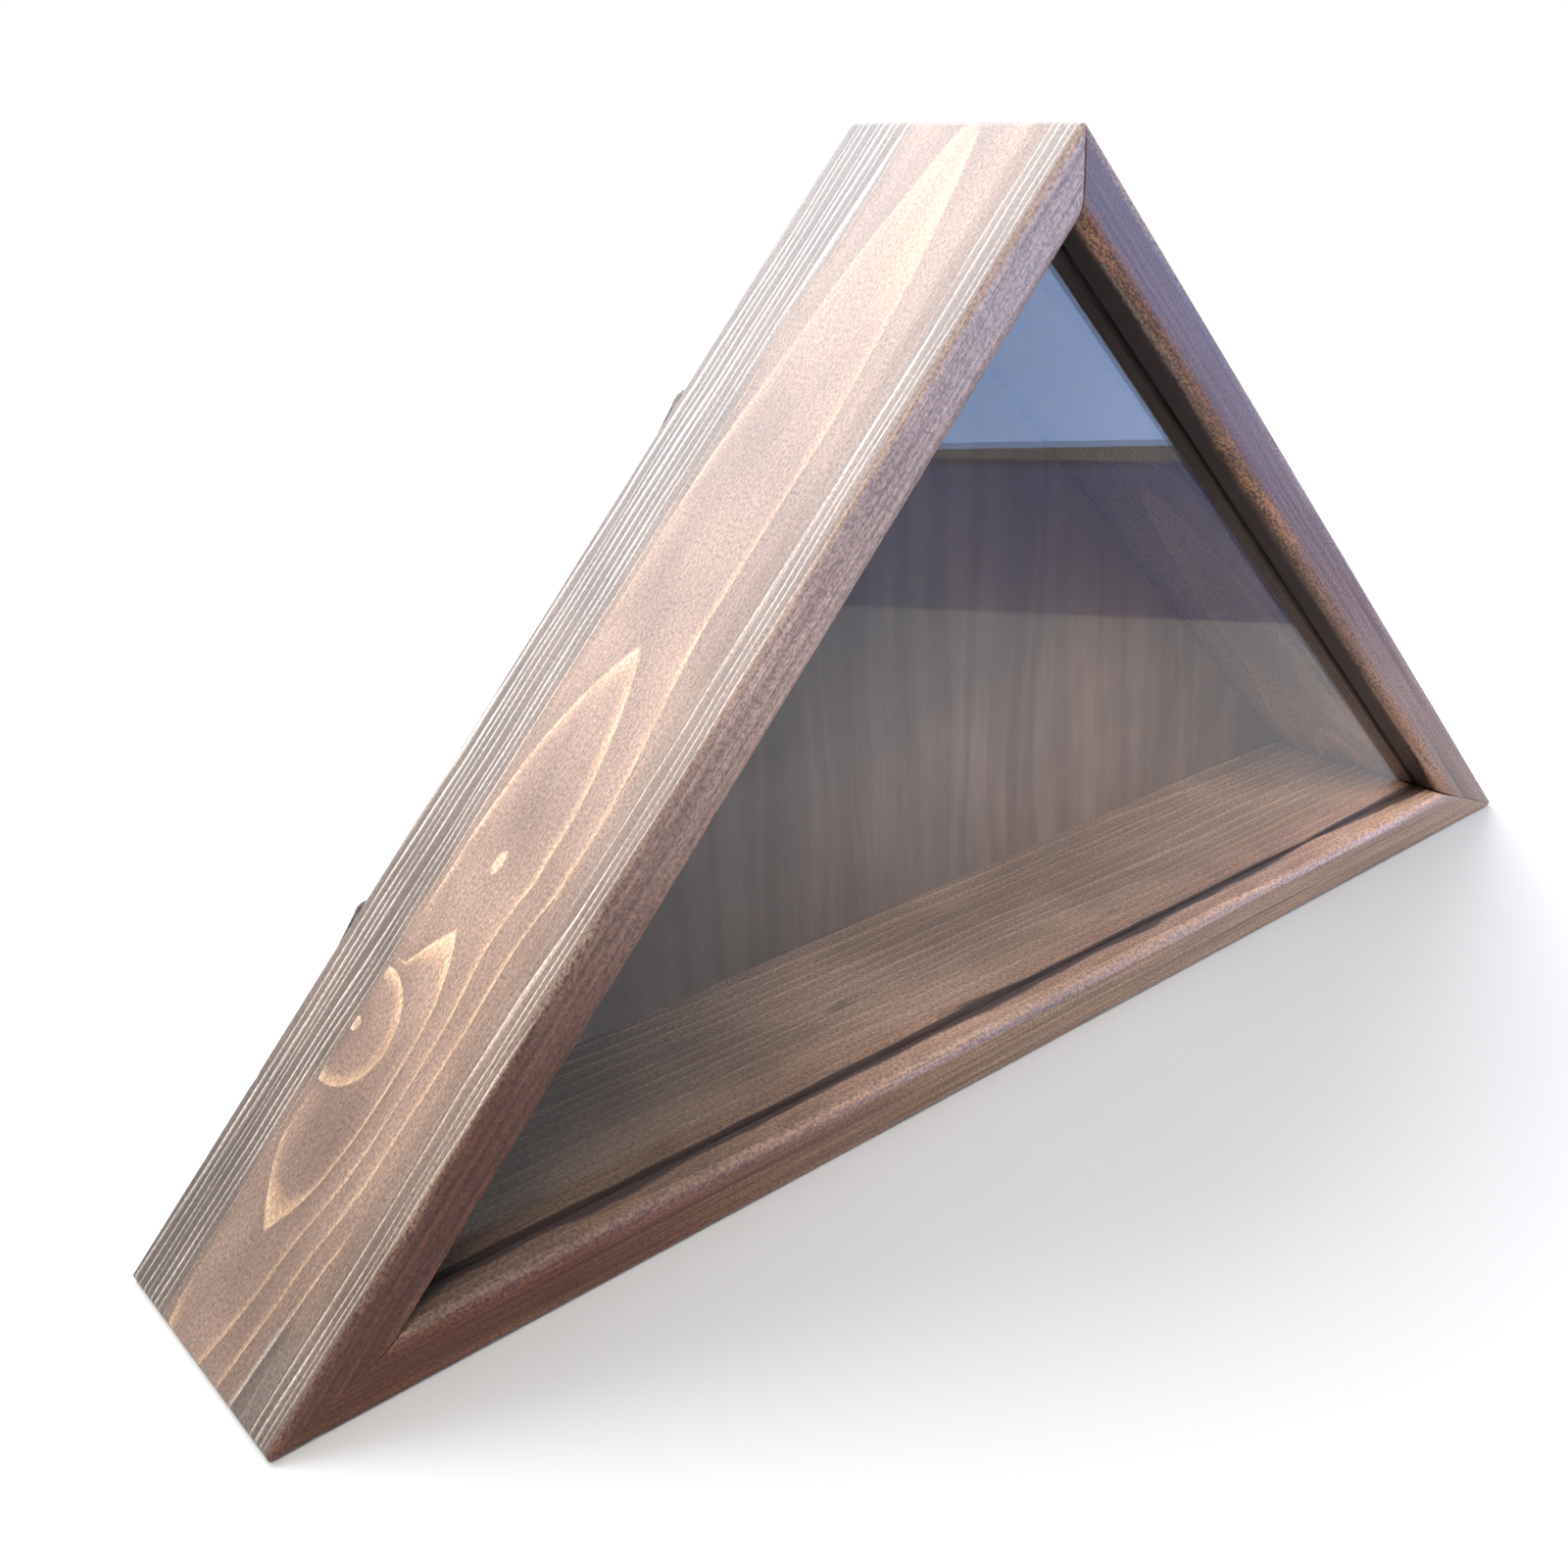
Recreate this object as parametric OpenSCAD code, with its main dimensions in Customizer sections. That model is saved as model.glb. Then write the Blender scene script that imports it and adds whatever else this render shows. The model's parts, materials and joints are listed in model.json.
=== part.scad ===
// Triangular display case for a folded flag. It stands on its long side.
// X runs along the base, Y runs from the glass front (-) to the back (+), Z is up.
// The origin is the middle of the base's underside.

/* [Case] */
// Length of the base board along its underside
base_len = 635; // [500:1:780]
// Height from the underside to the top corner
case_h = 317.5; // [250:0.5:390]
// Depth of the boards from front to back
case_d = 105; // [85:1:130]

/* [Boards] */
// Thickness of the three boards
board_t = 20; // [18:0.5:26]
// Radius on the inner front edge of each board
inner_edge_r = 5; // [2:0.5:6]
// Radius that eases the outer long edges of each board
outer_edge_r = 2; // [0.5:0.5:3]
// Radius on the outside of the three mitred corners
corner_r = 2; // [1:0.5:5]

/* [Glass] */
// Thickness of the glass pane
glass_t = 2.4; // [2:0.1:4]
// Distance from the front edges back to the glass groove
glass_setback = 14; // [8:0.5:20]
// Depth of the groove that holds the glass
groove_depth = 6; // [4:0.5:8]
// Gap round the glass in its groove
glass_gap = 0.3; // [0.2:0.1:0.8]
// Length cut off each sharp corner of the glass
glass_clip = 5; // [3:0.5:10]

/* [Back panel] */
// Thickness of the back panel
panel_t = 6; // [4:0.5:9]
// Width of wood left behind the boards' outer faces beside the panel
ledge_w = 12; // [10:0.5:14]
// Gap between the panel's edge and the rabbet
panel_gap = 0.6; // [0.4:0.1:1.5]
// Space in front of and behind the panel inside its rabbet
panel_play = 0.3; // [0.2:0.1:0.8]
// Length cut off each sharp corner of the panel
panel_clip = 4; // [2:0.5:10]

/* [Turn buttons] */
// Thickness of a turn button
button_t = 2.5; // [1.5:0.1:4]
// Wood left showing on each side of a turn button's round pivot end
button_margin = 1; // [0.6:0.1:1.5]
// Radius of a turn button's rounded free end
button_tip_r = 3.4; // [2.5:0.1:4]
// Distance from the pivot to the centre of the free end
button_reach = 19; // [15:0.5:24]
// Distance from a base corner to the lower pivot on each sloping board
lower_pivot = 139; // [100:1:160]
// Distance from a base corner to the upper pivot on each sloping board
upper_pivot = 338; // [250:1:345]
// Distance from a base corner to each pivot on the base board
base_pivot = 160; // [110:1:200]

/* [Screws and brads] */
// Radius of a pivot screw's shank
shank_r = 2; // [1.5:0.05:2.2]
// Radial clearance of the shank in a turn button
pivot_clear = 0.08; // [0.03:0.01:0.1]
// Length of a pivot screw below its head
screw_len = 25; // [18:1:40]
// Radius of a pivot screw's head
head_r = 4.2; // [3.6:0.1:4.6]
// Height of a pivot screw's domed head
head_h = 2.7; // [2:0.1:3.5]
// Radius of a washer
washer_r = 4.6; // [4.4:0.1:5]
// Thickness of a washer
washer_t = 0.8; // [0.5:0.1:1.2]
// Gap above and below a turn button so that it turns freely
turn_gap = 0.15; // [0.1:0.01:0.3]
// Radius of a corner brad
brad_r = 0.8; // [0.5:0.1:1.2]
// Wood left between a brad's ends and the boards' faces
brad_cover = 1; // [0.8:0.1:3]
// Distance from the outer brads to the glass groove and to the panel's rabbet
brad_margin = 12; // [6:0.5:16]

/* [Hidden] */
$fn = 64;

eps = 0.01;
half_base = base_len / 2;
leg_len = norm([half_base, case_h]);
base_angle = atan2(case_h, half_base);
top_angle = 180 - 2 * base_angle;
front_y = -case_d / 2;
back_y = case_d / 2;
groove_w = glass_t + 2 * glass_gap;
rabbet_depth = panel_t + 2 * panel_play;
pivot_inset = ledge_w / 2;
button_head_r = pivot_inset - button_margin;
shank_hole_r = shank_r + pivot_clear;
washer_y = back_y + turn_gap + button_t + turn_gap;
head_y = washer_y + washer_t;
brad_count = 3;
point_r = 0.3;

// Each board's outer edge: where it starts, its direction, its length, and the corner
// angles at its start and its end. The edges run round the triangle in turn.
BASE_EDGE = [[-half_base, 0], 0, base_len, base_angle, base_angle];
RIGHT_EDGE = [[half_base, 0], 180 - base_angle, leg_len, base_angle, top_angle];
LEFT_EDGE = [[0, case_h], 180 + base_angle, leg_len, top_angle, base_angle];

// Places its children in an edge's own frame: X along the edge, Z into the case.
module on_edge(edge) {
    translate([edge[0].x, 0, edge[0].y]) rotate([0, -edge[1], 0]) children();
}

// Extrudes a flat XZ outline along Y from y_start over the given thickness.
module slab(y_start, thickness) {
    translate([0, y_start + thickness, 0]) rotate([90, 0, 0])
        linear_extrude(thickness) children();
}

// Outline of the case moved in by inset, with clip cut off each corner along both sides.
function clipped_triangle(inset, clip) =
    let (low = half_base - inset / tan(base_angle / 2),
         top = case_h - inset / sin(top_angle / 2),
         run = clip * cos(base_angle),
         rise = clip * sin(base_angle))
    [[-low + clip, inset], [low - clip, inset], [low - run, inset + rise],
     [run, top - rise], [-run, top - rise], [-low + run, inset + rise]];

// Removes the square corner at the origin outside a quarter circle. The signs say which
// way the material lies.
module corner_cut(radius, sign_x, sign_y) {
    scale_sign = [sign_x, sign_y];
    difference() {
        polygon([[0, 0], [radius * sign_x, 0], radius * scale_sign, [0, radius * sign_y]]);
        translate(radius * scale_sign) circle(radius);
    }
}

// Cross-section of a board: X from front to back, Y from the outer to the inner face.
module board_section() {
    difference() {
        square([case_d, board_t]);
        corner_cut(outer_edge_r, 1, 1);
        translate([case_d, 0]) corner_cut(outer_edge_r, -1, 1);
        translate([0, board_t]) corner_cut(inner_edge_r, 1, -1);
        translate([glass_setback, board_t - groove_depth])
            square([groove_w, groove_depth + eps]);
        translate([case_d - rabbet_depth, ledge_w])
            square([rabbet_depth + eps, board_t]);
    }
}

// Cuts the sharp tip of a corner back to corner_r. The tip lies at the edge frame's origin
// and the corner opens by angle from the X axis.
module tip_rounding(angle) {
    reach = corner_r / tan(angle / 2);
    centre = [reach, corner_r];
    slab(front_y - eps, case_d + 2 * eps)
        difference() {
            polygon([[-eps, -eps], [reach, -eps], centre,
                     reach * [cos(angle), sin(angle)] + eps * [-1, 0]]);
            translate(centre) circle(corner_r);
        }
}

// One mitred board, in its edge's frame.
module board(edge) {
    len = edge[2];
    start_angle = edge[3];
    end_angle = edge[4];
    on_edge(edge) difference() {
        intersection() {
            translate([0, front_y, 0]) rotate([90, 0, 90])
                linear_extrude(len) board_section();
            slab(front_y - eps, case_d + 2 * eps)
                polygon([[0, 0], [len, 0], [len - board_t / tan(end_angle / 2), board_t],
                         [board_t / tan(start_angle / 2), board_t]]);
        }
        tip_rounding(start_angle);
        translate([len, 0, 0]) mirror([1, 0, 0]) tip_rounding(end_angle);
    }
}

// Places its children on a pivot's axis, a given distance along an edge.
module at_pivot(edge, along) {
    on_edge(edge) translate([along, 0, pivot_inset]) children();
}

// Shank of a pivot screw, also used to cut its hole.
module screw_shank() {
    tip_len = 2 * shank_r;
    translate([0, head_y, 0]) rotate([90, 0, 0]) {
        cylinder(h = screw_len - tip_len, r = shank_r);
        translate([0, 0, screw_len - tip_len])
            cylinder(h = tip_len, r1 = shank_r, r2 = point_r);
    }
}

// Pan head with a cross recess, seated on its washer.
module screw_head() {
    dome_r = (head_r * head_r + head_h * head_h) / (2 * head_h);
    recess_w = head_r * 0.22;
    recess_len = head_r * 1.05;
    recess_depth = head_h * 0.55;
    difference() {
        translate([0, head_y, 0]) rotate([-90, 0, 0]) rotate_extrude()
            intersection() {
                square([head_r, head_h]);
                translate([0, head_h - dome_r]) circle(dome_r);
            }
        for (turn = [0, 90])
            rotate([0, turn, 0])
                translate([-recess_len / 2, head_y + head_h - recess_depth, -recess_w / 2])
                    cube([recess_len, head_h, recess_w]);
    }
}

module button_screw(edge, along) {
    color("dimgray") at_pivot(edge, along) {
        screw_shank();
        screw_head();
    }
}

module button_washer(edge, along) {
    color("gray") at_pivot(edge, along)
        slab(washer_y, washer_t)
            difference() {
                circle(washer_r);
                circle(shank_hole_r);
            }
}

// Tapered bar with a round pivot end and a round free end, turned open: it lies along
// its board. The side is 1 or -1 for the way that the free end points along the edge.
module turn_button(edge, along, side) {
    taper = asin((button_head_r - button_tip_r) / button_reach);
    flank = [sin(taper), cos(taper)];
    head_point = button_head_r * flank;
    tip_point = [button_reach, 0] + button_tip_r * flank;
    color("darkslategray") at_pivot(edge, along)
        mirror([side < 0 ? 1 : 0, 0, 0])
            slab(back_y + turn_gap, button_t)
                difference() {
                    union() {
                        circle(button_head_r);
                        translate([button_reach, 0]) circle(button_tip_r);
                        polygon([[head_point.x, -head_point.y], [tip_point.x, -tip_point.y],
                                 tip_point, head_point]);
                    }
                    circle(shank_hole_r);
                }
}

// A row of headless brads square across the mitre at the start of an edge.
module corner_brads(edge) {
    half_angle = edge[3] / 2;
    mid_mitre = board_t / sin(half_angle) / 2;
    half_brad = (board_t / 2 - brad_cover - brad_r * sin(half_angle)) / cos(half_angle);
    first_y = front_y + glass_setback + groove_w + brad_margin;
    last_y = back_y - rabbet_depth - brad_margin;
    on_edge(edge) rotate([0, -half_angle, 0])
        for (i = [0 : brad_count - 1])
            translate([mid_mitre, first_y + i * (last_y - first_y) / (brad_count - 1),
                       -half_brad])
                cylinder(h = 2 * half_brad, r = brad_r);
}

module all_brads() {
    for (edge = [BASE_EDGE, RIGHT_EDGE, LEFT_EDGE])
        corner_brads(edge);
}

module left_side_board() {
    color("saddlebrown") difference() {
        board(LEFT_EDGE);
        for (along = [lower_pivot, upper_pivot])
            at_pivot(LEFT_EDGE, leg_len - along) screw_shank();
        all_brads();
    }
}

module right_side_board() {
    color("saddlebrown") difference() {
        board(RIGHT_EDGE);
        for (along = [lower_pivot, upper_pivot])
            at_pivot(RIGHT_EDGE, along) screw_shank();
        all_brads();
    }
}

module base_board() {
    color("saddlebrown") difference() {
        board(BASE_EDGE);
        for (along = [base_pivot, base_len - base_pivot])
            at_pivot(BASE_EDGE, along) screw_shank();
        all_brads();
    }
}

// The pane rests on the floor of the base board's groove.
module glass_pane() {
    color("lightblue", 0.35)
        translate([0, 0, -glass_gap])
            slab(front_y + glass_setback + glass_gap, glass_t)
                polygon(clipped_triangle(board_t - groove_depth + glass_gap, glass_clip));
}

module back_panel() {
    color("sienna")
        slab(back_y - panel_play - panel_t, panel_t)
            polygon(clipped_triangle(ledge_w + panel_gap, panel_clip));
}

left_side_board();
right_side_board();
base_board();
glass_pane();
back_panel();
turn_button(LEFT_EDGE, leg_len - lower_pivot, 1);  // turn_button_left_lower
turn_button(LEFT_EDGE, leg_len - upper_pivot, 1);  // turn_button_left_upper
turn_button(RIGHT_EDGE, lower_pivot, -1);  // turn_button_right_lower
turn_button(RIGHT_EDGE, upper_pivot, -1);  // turn_button_right_upper
turn_button(BASE_EDGE, base_pivot, 1);  // turn_button_base_left
turn_button(BASE_EDGE, base_len - base_pivot, -1);  // turn_button_base_right
button_screw(LEFT_EDGE, leg_len - lower_pivot);  // button_screw_left_lower
button_screw(LEFT_EDGE, leg_len - upper_pivot);  // button_screw_left_upper
button_screw(RIGHT_EDGE, lower_pivot);  // button_screw_right_lower
button_screw(RIGHT_EDGE, upper_pivot);  // button_screw_right_upper
button_screw(BASE_EDGE, base_pivot);  // button_screw_base_left
button_screw(BASE_EDGE, base_len - base_pivot);  // button_screw_base_right
button_washer(LEFT_EDGE, leg_len - lower_pivot);  // button_washer_left_lower
button_washer(LEFT_EDGE, leg_len - upper_pivot);  // button_washer_left_upper
button_washer(RIGHT_EDGE, lower_pivot);  // button_washer_right_lower
button_washer(RIGHT_EDGE, upper_pivot);  // button_washer_right_upper
button_washer(BASE_EDGE, base_pivot);  // button_washer_base_left
button_washer(BASE_EDGE, base_len - base_pivot);  // button_washer_base_right
color("silver") corner_brads(BASE_EDGE);  // corner_brads_left
color("silver") corner_brads(RIGHT_EDGE);  // corner_brads_right
color("silver") corner_brads(LEFT_EDGE);  // corner_brads_top
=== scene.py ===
"""Looks for the folded flag display case: stained boards, glass, back panel and turn buttons.

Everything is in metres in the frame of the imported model: X along the base, Y from the glass
front to the back, Z up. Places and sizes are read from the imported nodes. Inside the materials
of the boards and the back panel, distances are in millimetres.
"""

import json
import math

import bmesh
import bpy
from mathutils import Matrix, Vector, noise


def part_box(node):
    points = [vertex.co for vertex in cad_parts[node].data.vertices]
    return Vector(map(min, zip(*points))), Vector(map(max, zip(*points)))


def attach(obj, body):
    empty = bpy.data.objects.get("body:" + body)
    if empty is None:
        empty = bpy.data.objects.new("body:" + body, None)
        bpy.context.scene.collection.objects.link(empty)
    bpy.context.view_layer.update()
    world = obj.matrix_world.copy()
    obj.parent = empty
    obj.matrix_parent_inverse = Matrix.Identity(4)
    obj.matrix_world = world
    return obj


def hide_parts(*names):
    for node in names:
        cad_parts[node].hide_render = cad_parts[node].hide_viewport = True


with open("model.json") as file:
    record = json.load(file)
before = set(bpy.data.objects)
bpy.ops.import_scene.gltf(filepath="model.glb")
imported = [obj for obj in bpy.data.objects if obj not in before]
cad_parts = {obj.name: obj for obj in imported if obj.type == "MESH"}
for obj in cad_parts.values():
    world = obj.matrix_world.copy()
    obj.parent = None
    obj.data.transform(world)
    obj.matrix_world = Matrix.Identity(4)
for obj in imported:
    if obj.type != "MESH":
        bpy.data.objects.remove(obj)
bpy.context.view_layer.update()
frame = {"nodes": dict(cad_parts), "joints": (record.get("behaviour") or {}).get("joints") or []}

MM = 0.001
PER_MM = 1000

# The corners of the case: 45 degrees at both ends of the base and a right angle on top.
BASE_ANGLE = math.radians(45)
TOP_ANGLE = math.pi - 2 * BASE_ANGLE
# Radii and gaps of the boards that no node's box shows
CORNER_R = 2 * MM
OUTER_EDGE_R = 2 * MM
INNER_EDGE_R = 5 * MM
GLASS_GAP = 0.3 * MM
PANEL_GAP = 0.6 * MM
PANEL_PLAY = 0.3 * MM

base_lo, base_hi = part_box("base_board")
glass_lo, glass_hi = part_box("glass_pane")
panel_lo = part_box("back_panel")[0]

FRONT_Y = base_lo.y
BACK_Y = base_hi.y
DEPTH = BACK_Y - FRONT_Y
BOARD_T = base_hi.z - base_lo.z
TIP_SETBACK = CORNER_R / math.tan(BASE_ANGLE / 2) - CORNER_R
HALF_BASE = base_hi.x + TIP_SETBACK
CASE_H = HALF_BASE * math.tan(BASE_ANGLE)
LEG = HALF_BASE / math.cos(BASE_ANGLE)
GROOVE_FRONT = glass_lo.y - GLASS_GAP
GROOVE_BACK = glass_hi.y + GLASS_GAP
GROOVE_FLOOR = glass_lo.z
RABBET_FRONT = panel_lo.y - PANEL_PLAY
LEDGE = panel_lo.z - PANEL_GAP


# ---------------------------------------------------------------- shader helpers

class Value:
    """A socket in a node tree that takes part in sums with numbers and other values."""

    def __init__(self, tree, socket):
        self.tree = tree
        self.socket = socket

    def math(self, operation, other=None):
        """The result of one sum with this value first."""
        node = self.tree.nodes.new("ShaderNodeMath")
        node.operation = operation
        self.tree.links.new(self.socket, node.inputs[0])
        if isinstance(other, Value):
            self.tree.links.new(other.socket, node.inputs[1])
        elif other is not None:
            node.inputs[1].default_value = other
        return Value(self.tree, node.outputs[0])

    def __add__(self, other):
        return self.math("ADD", other)

    def __sub__(self, other):
        return self.math("SUBTRACT", other)

    def __mul__(self, other):
        return self.math("MULTIPLY", other)

    def __truediv__(self, other):
        return self.math("DIVIDE", other)

    def power(self, exponent):
        return self.math("POWER", exponent)

    def size(self):
        return self.math("ABSOLUTE")

    def fraction(self):
        return self.math("FRACT")

    def at_least(self, low):
        return self.math("MAXIMUM", low)

    def at_most(self, high):
        return self.math("MINIMUM", high)

    def opposite(self):
        """1 where this value is 0, and 0 where it is 1."""
        return self * -1 + 1

    def swing(self, width):
        """A noise turned into a swing about zero, this wide from end to end."""
        return (self - 0.5) * width

    def ramp(self, start, end, low=0.0, high=1.0, smooth=True):
        """Goes from low at start to high at end, and stays there."""
        node = self.tree.nodes.new("ShaderNodeMapRange")
        node.interpolation_type = "SMOOTHSTEP" if smooth else "LINEAR"
        self.tree.links.new(self.socket, node.inputs["Value"])
        for name, number in (("From Min", start), ("From Max", end),
                             ("To Min", low), ("To Max", high)):
            node.inputs[name].default_value = number
        return Value(self.tree, node.outputs["Result"])

    def mixed(self, other, share):
        """This value where share is 0, the other where it is 1."""
        return self + (other - self) * share


class Surface:
    """A node material with a Principled shader and short calls for its textures."""

    def __init__(self, name):
        self.material = bpy.data.materials.new(name)
        self.material.use_nodes = True
        self.tree = self.material.node_tree
        self.shader = self.tree.nodes["Principled BSDF"]

    def new(self, kind, **settings):
        node = self.tree.nodes.new(kind)
        for key, setting in settings.items():
            setattr(node, key, setting)
        return node

    def link(self, source, target):
        self.tree.links.new(source.socket if isinstance(source, Value) else source, target)

    def put(self, source, name):
        """Feeds one of the shader's own inputs."""
        self.link(source, self.shader.inputs[name])

    def set(self, **values):
        """Uniform numbers on the shader's own inputs."""
        for name, setting in values.items():
            self.shader.inputs[name.replace("_", " ")].default_value = setting

    def show_instead(self, socket):
        """Shows another shader than the Principled one on its own."""
        self.link(socket, self.tree.nodes["Material Output"].inputs["Surface"])

    def mixed_shaders(self, share, first, second):
        mix = self.new("ShaderNodeMixShader")
        for source, target in zip((share, first, second), mix.inputs):
            self.link(source, target)
        return mix.outputs[0]

    def place(self):
        """Where a point lies on its own object, in metres."""
        return self.new("ShaderNodeTexCoord").outputs["Object"]

    def attribute(self, name, output):
        """What a mesh holds under a name, at each point."""
        return self.new("ShaderNodeAttribute", attribute_name=name).outputs[output]

    def vector(self, x, y, z):
        """A vector from three numbers or values."""
        node = self.new("ShaderNodeCombineXYZ")
        for part, target in zip((x, y, z), node.inputs):
            if isinstance(part, Value):
                self.link(part, target)
            else:
                target.default_value = part
        return node.outputs[0]

    def split(self, socket):
        node = self.new("ShaderNodeSeparateXYZ")
        self.link(socket, node.inputs[0])
        return [Value(self.tree, out) for out in node.outputs]

    def noise(self, place, scale=1.0, detail=2.0, roughness=0.5, distortion=0.0):
        """Soft noise at a place, mostly between 0.3 and 0.7."""
        node = self.new("ShaderNodeTexNoise")
        self.link(place, node.inputs["Vector"])
        for name, number in (("Scale", scale), ("Detail", detail),
                             ("Roughness", roughness), ("Distortion", distortion)):
            node.inputs[name].default_value = number
        return Value(self.tree, node.outputs["Fac"])

    def blend(self, share, first, second, mode="MIX"):
        """A colour: first where share is 0, second where it is 1."""
        node = self.new("ShaderNodeMix", data_type="RGBA", blend_type=mode)
        for item, target in ((share, node.inputs[0]), (first, node.inputs[6]),
                             (second, node.inputs[7])):
            if isinstance(item, (Value, bpy.types.NodeSocket)):
                self.link(item, target)
            elif isinstance(item, (int, float)):
                target.default_value = item
            else:
                target.default_value = (*item, 1.0)
        return node.outputs[2]

    def tinted(self, colour, tint):
        return self.blend(1.0, colour, tint, "MULTIPLY")

    def shaded(self, colour, shade):
        return self.tinted(colour, self.vector(shade, shade, shade))

    def bump(self, height, distance, strength, below=None):
        """A normal roughened by a height, on top of another bump if there is one below."""
        node = self.new("ShaderNodeBump")
        self.link(height, node.inputs["Height"])
        node.inputs["Distance"].default_value = distance
        node.inputs["Strength"].default_value = strength
        if below is not None:
            self.link(below, node.inputs["Normal"])
        return node.outputs[0]


# ---------------------------------------------------------------- stained pine

# One plank's figure, in millimetres: along it from the left board's lower end, and across it
# from the back edge. The side boards come from its first part, the base from its plain rest.
PLAIN_FROM = (560, 580)
# The middle line of the arches: where it lies at one place along, and its slope
HEART_ALONG, HEART_ACROSS, HEART_SLOPE = 100, 50, 0.028
# What interrupts them: a long eye, a small island further up and a knot
EYE_ALONG, EYE_HALF_LENGTH, EYE_DEPTH = 98, 56, 13.5
ISLAND_ALONG, ISLAND_HALF_LENGTH = 175, 7
KNOT_ALONG, KNOT_ACROSS = 110, 32
KNOT_EDGE = (21.4, 25)
# The rings: how wide they are, how far the cut lies above the heart, and the smallest of them
RING_WIDTH = 8
HEART_BELOW_CUT = 17.9
SMALLEST_RING = 10.3
STRAIGHT_RING_WIDTH = 3.3
STRAIGHT_RING_DRIFT = 2.6
KNOT_RING_WIDTH = 18
# Distances in from a board's outer face between which its inner side begins
INNER_SIDE_FROM = (10, 18)


class Plank:
    """A point's place in the wood in millimetres, how it was treated and where shade is painted
    on it, and shared textures.
    """

    def __init__(self, surface):
        self.surface = surface
        place = surface.split(surface.attribute("grain", "Vector"))
        self.along, self.across, self.below = (part * PER_MM for part in place)
        self.wear, self.narrow, depth = surface.split(surface.attribute("zones", "Vector"))
        self.depth = depth * PER_MM
        self.fade_and_shade = Value(surface.tree, surface.attribute("fade_and_shade", "Fac"))
        self.groove_shade = Value(surface.tree, surface.attribute("groove_shade", "Fac"))
        self.plain = self.along.ramp(*PLAIN_FROM)
        self.figured = self.plain.opposite()
        self.inner_side = self.depth.ramp(*INNER_SIDE_FROM)
        self.fibre = self.texture(30, 0.45, detail=3, roughness=0.6)
        self.flecks = self.texture(5, 0.28, detail=1)
        self.blotch = self.texture(70, 34, detail=3, roughness=0.55, thickness=20)
        self.grit = self.texture(1.3, 0.9, detail=3, roughness=0.7)
        self.fading = self.texture(60, 7)
        self.cloud = surface.noise(surface.vector(self.along / 60, self.depth / 14, 4.0))
        self.speckle = self.grit.ramp(0.3, 0.7, 0.54, 1.38) * self.flecks.ramp(0.3, 0.42, 0.84, 1)

    def texture(self, length, width, detail=2, roughness=0.5, thickness=None):
        """Noise drawn out along the grain, with the size of its cells in millimetres."""
        place = self.surface.vector(self.along / length, self.across / width,
                                    self.below / (thickness or width))
        return self.surface.noise(place, 1.0, detail, roughness)


def arched_rings(along, offset, below):
    """Rings of the flat-sawn heart: a hill along the board makes the eye and the arches."""
    eye = (((along - EYE_ALONG).size() / EYE_HALF_LENGTH).power(2).opposite()).at_least(0)
    eye = eye.power(2) * EYE_DEPTH
    island = ((along - ISLAND_ALONG) / ISLAND_HALF_LENGTH).power(2).opposite().at_least(0)
    lower_end = along.ramp(-5, 50, 5, 0)
    first_arch = along.ramp(180, 275, 0, 8.5)
    second_arch = along.ramp(285, 520, 0, 8.5)
    hill = lower_end + first_arch + second_arch
    hill = hill + HEART_BELOW_CUT + along.ramp(146, 162) * 0.6 - island - eye + below * 0.8
    far_side = along.ramp(90, 200, 1.0, 0.62)
    near_side = along.ramp(90, 200, 0.43, 0.6)
    steep = near_side.mixed(far_side, offset.ramp(-2, 2))
    spread = (offset * offset + offset.size() * 8) * steep
    return (hill * hill + spread).power(0.5).at_least(SMALLEST_RING) / RING_WIDTH - 0.25


def straight_rings(surface, along, across, below):
    """The rings beside the heart, which run straight along the board with a slight drift."""
    place = surface.vector(along / 500, across / 7, below / 7)
    drift = surface.noise(place, 1.0, 1.0) * STRAIGHT_RING_DRIFT
    return (across * -1 + 30) / STRAIGHT_RING_WIDTH + 4.6 + along * 0.004 + drift + below * 0.12


def beside_heart(along, across):
    """1 where the rings are straight: near the back and front edges and in the plain rest."""
    back = (across - along * 0.012).ramp(27, 30, 1, 0)
    return back.at_least(across.ramp(84, 92)).at_least(along.ramp(*PLAIN_FROM))


def knot_distance(surface, along, across):
    """How far a point lies from the middle of the knot."""
    length = surface.new("ShaderNodeVectorMath", operation="LENGTH")
    surface.link(surface.vector(along - KNOT_ALONG, across - KNOT_ACROSS, 0), length.inputs[0])
    return Value(surface.tree, length.outputs["Value"])


def wood_figure(surface, along, across, below):
    """Growth rings on a flat-sawn face. Gives the number of the ring with its fraction, and
    where the light wood widens: at both points of the eye, round the knot and up the second
    arch."""
    offset = across - ((along - HEART_ALONG) * HEART_SLOPE + HEART_ACROSS)
    straight = beside_heart(along, across)
    rings = arched_rings(along, offset, below)
    rings = rings.mixed(straight_rings(surface, along, across, below), straight)
    radius = knot_distance(surface, along, across)
    in_knot = radius.ramp(*KNOT_EDGE, 1, 0) * straight.opposite()
    from_eye = (along - EYE_ALONG).size()
    points = from_eye.ramp(30, 46) * from_eye.ramp(57, 62, 1, 0) * offset.size().ramp(5, 10, 1, 0)
    from_streak = (offset + along * -0.02 + 6).size()
    streak = along.ramp(265, 330) * from_streak.ramp(4, 13, 1, 0)
    wide = points + in_knot * 0.35 * radius.ramp(15, 17) + streak * 0.9
    return rings.mixed(radius / KNOT_RING_WIDTH - 0.15, in_knot), wide


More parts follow.
